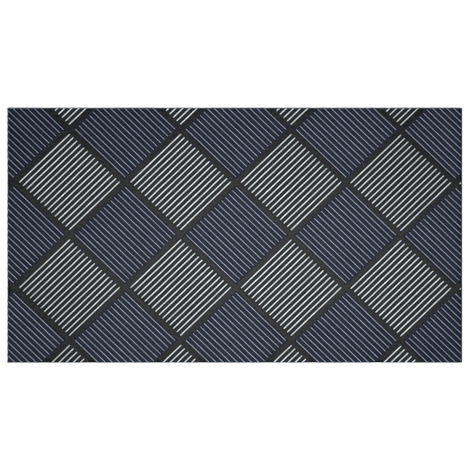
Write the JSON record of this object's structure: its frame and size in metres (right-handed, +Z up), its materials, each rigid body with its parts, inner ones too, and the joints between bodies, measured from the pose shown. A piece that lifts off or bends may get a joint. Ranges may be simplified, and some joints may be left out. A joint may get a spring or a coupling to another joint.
{
  "type": "door mat",
  "caption": "Rectangular door mat: rubber backing, dark felt face, and diamond panels of raised parallel ribs in silver-grey and blue, cut flush at the edges.",
  "frame": {"origin": "middle of the underside, on the surface that the mat lies on", "axes": "+Z up out of the face, +X along the long side, +Y along the short side away from a person who reads the mat from its near long edge; the silver ribs run from near left to far right"},
  "size_m": [0.7, 0.392, 0.007],
  "materials": {
    "rubber": "matt black moulded rubber",
    "felt": "dense charcoal needle felt",
    "silver_ribs": "silver-grey fibre ribs with dark flanks",
    "blue_ribs": "blue fibre ribs with dark navy flanks"
  },
  "bodies": {
    "root": {"rubber_backing": "rubber", "felt_face": "felt", "silver_rib_panel_r1_c3": "silver_ribs", "silver_rib_panel_r1_c5": "silver_ribs", "silver_rib_panel_r1_c7": "silver_ribs", "silver_rib_panel_r1_c9": "silver_ribs", "silver_rib_panel_r3_c1": "silver_ribs", "silver_rib_panel_r3_c11": "silver_ribs", "silver_rib_panel_r3_c3": "silver_ribs", "silver_rib_panel_r3_c5": "silver_ribs", "silver_rib_panel_r3_c7": "silver_ribs", "silver_rib_panel_r3_c9": "silver_ribs", "silver_rib_panel_r5_c1": "silver_ribs", "silver_rib_panel_r5_c11": "silver_ribs", "silver_rib_panel_r5_c3": "silver_ribs", "silver_rib_panel_r5_c5": "silver_ribs", "silver_rib_panel_r5_c7": "silver_ribs", "silver_rib_panel_r5_c9": "silver_ribs", "silver_rib_panel_r7_c3": "silver_ribs", "silver_rib_panel_r7_c5": "silver_ribs", "silver_rib_panel_r7_c7": "silver_ribs", "silver_rib_panel_r7_c9": "silver_ribs", "blue_rib_panel_r2_c10": "blue_ribs", "blue_rib_panel_r2_c2": "blue_ribs", "blue_rib_panel_r2_c4": "blue_ribs", "blue_rib_panel_r2_c6": "blue_ribs", "blue_rib_panel_r2_c8": "blue_ribs", "blue_rib_panel_r4_c10": "blue_ribs", "blue_rib_panel_r4_c2": "blue_ribs", "blue_rib_panel_r4_c4": "blue_ribs", "blue_rib_panel_r4_c6": "blue_ribs", "blue_rib_panel_r4_c8": "blue_ribs", "blue_rib_panel_r6_c10": "blue_ribs", "blue_rib_panel_r6_c2": "blue_ribs", "blue_rib_panel_r6_c4": "blue_ribs", "blue_rib_panel_r6_c6": "blue_ribs", "blue_rib_panel_r6_c8": "blue_ribs"}
  },
  "joints": []
}
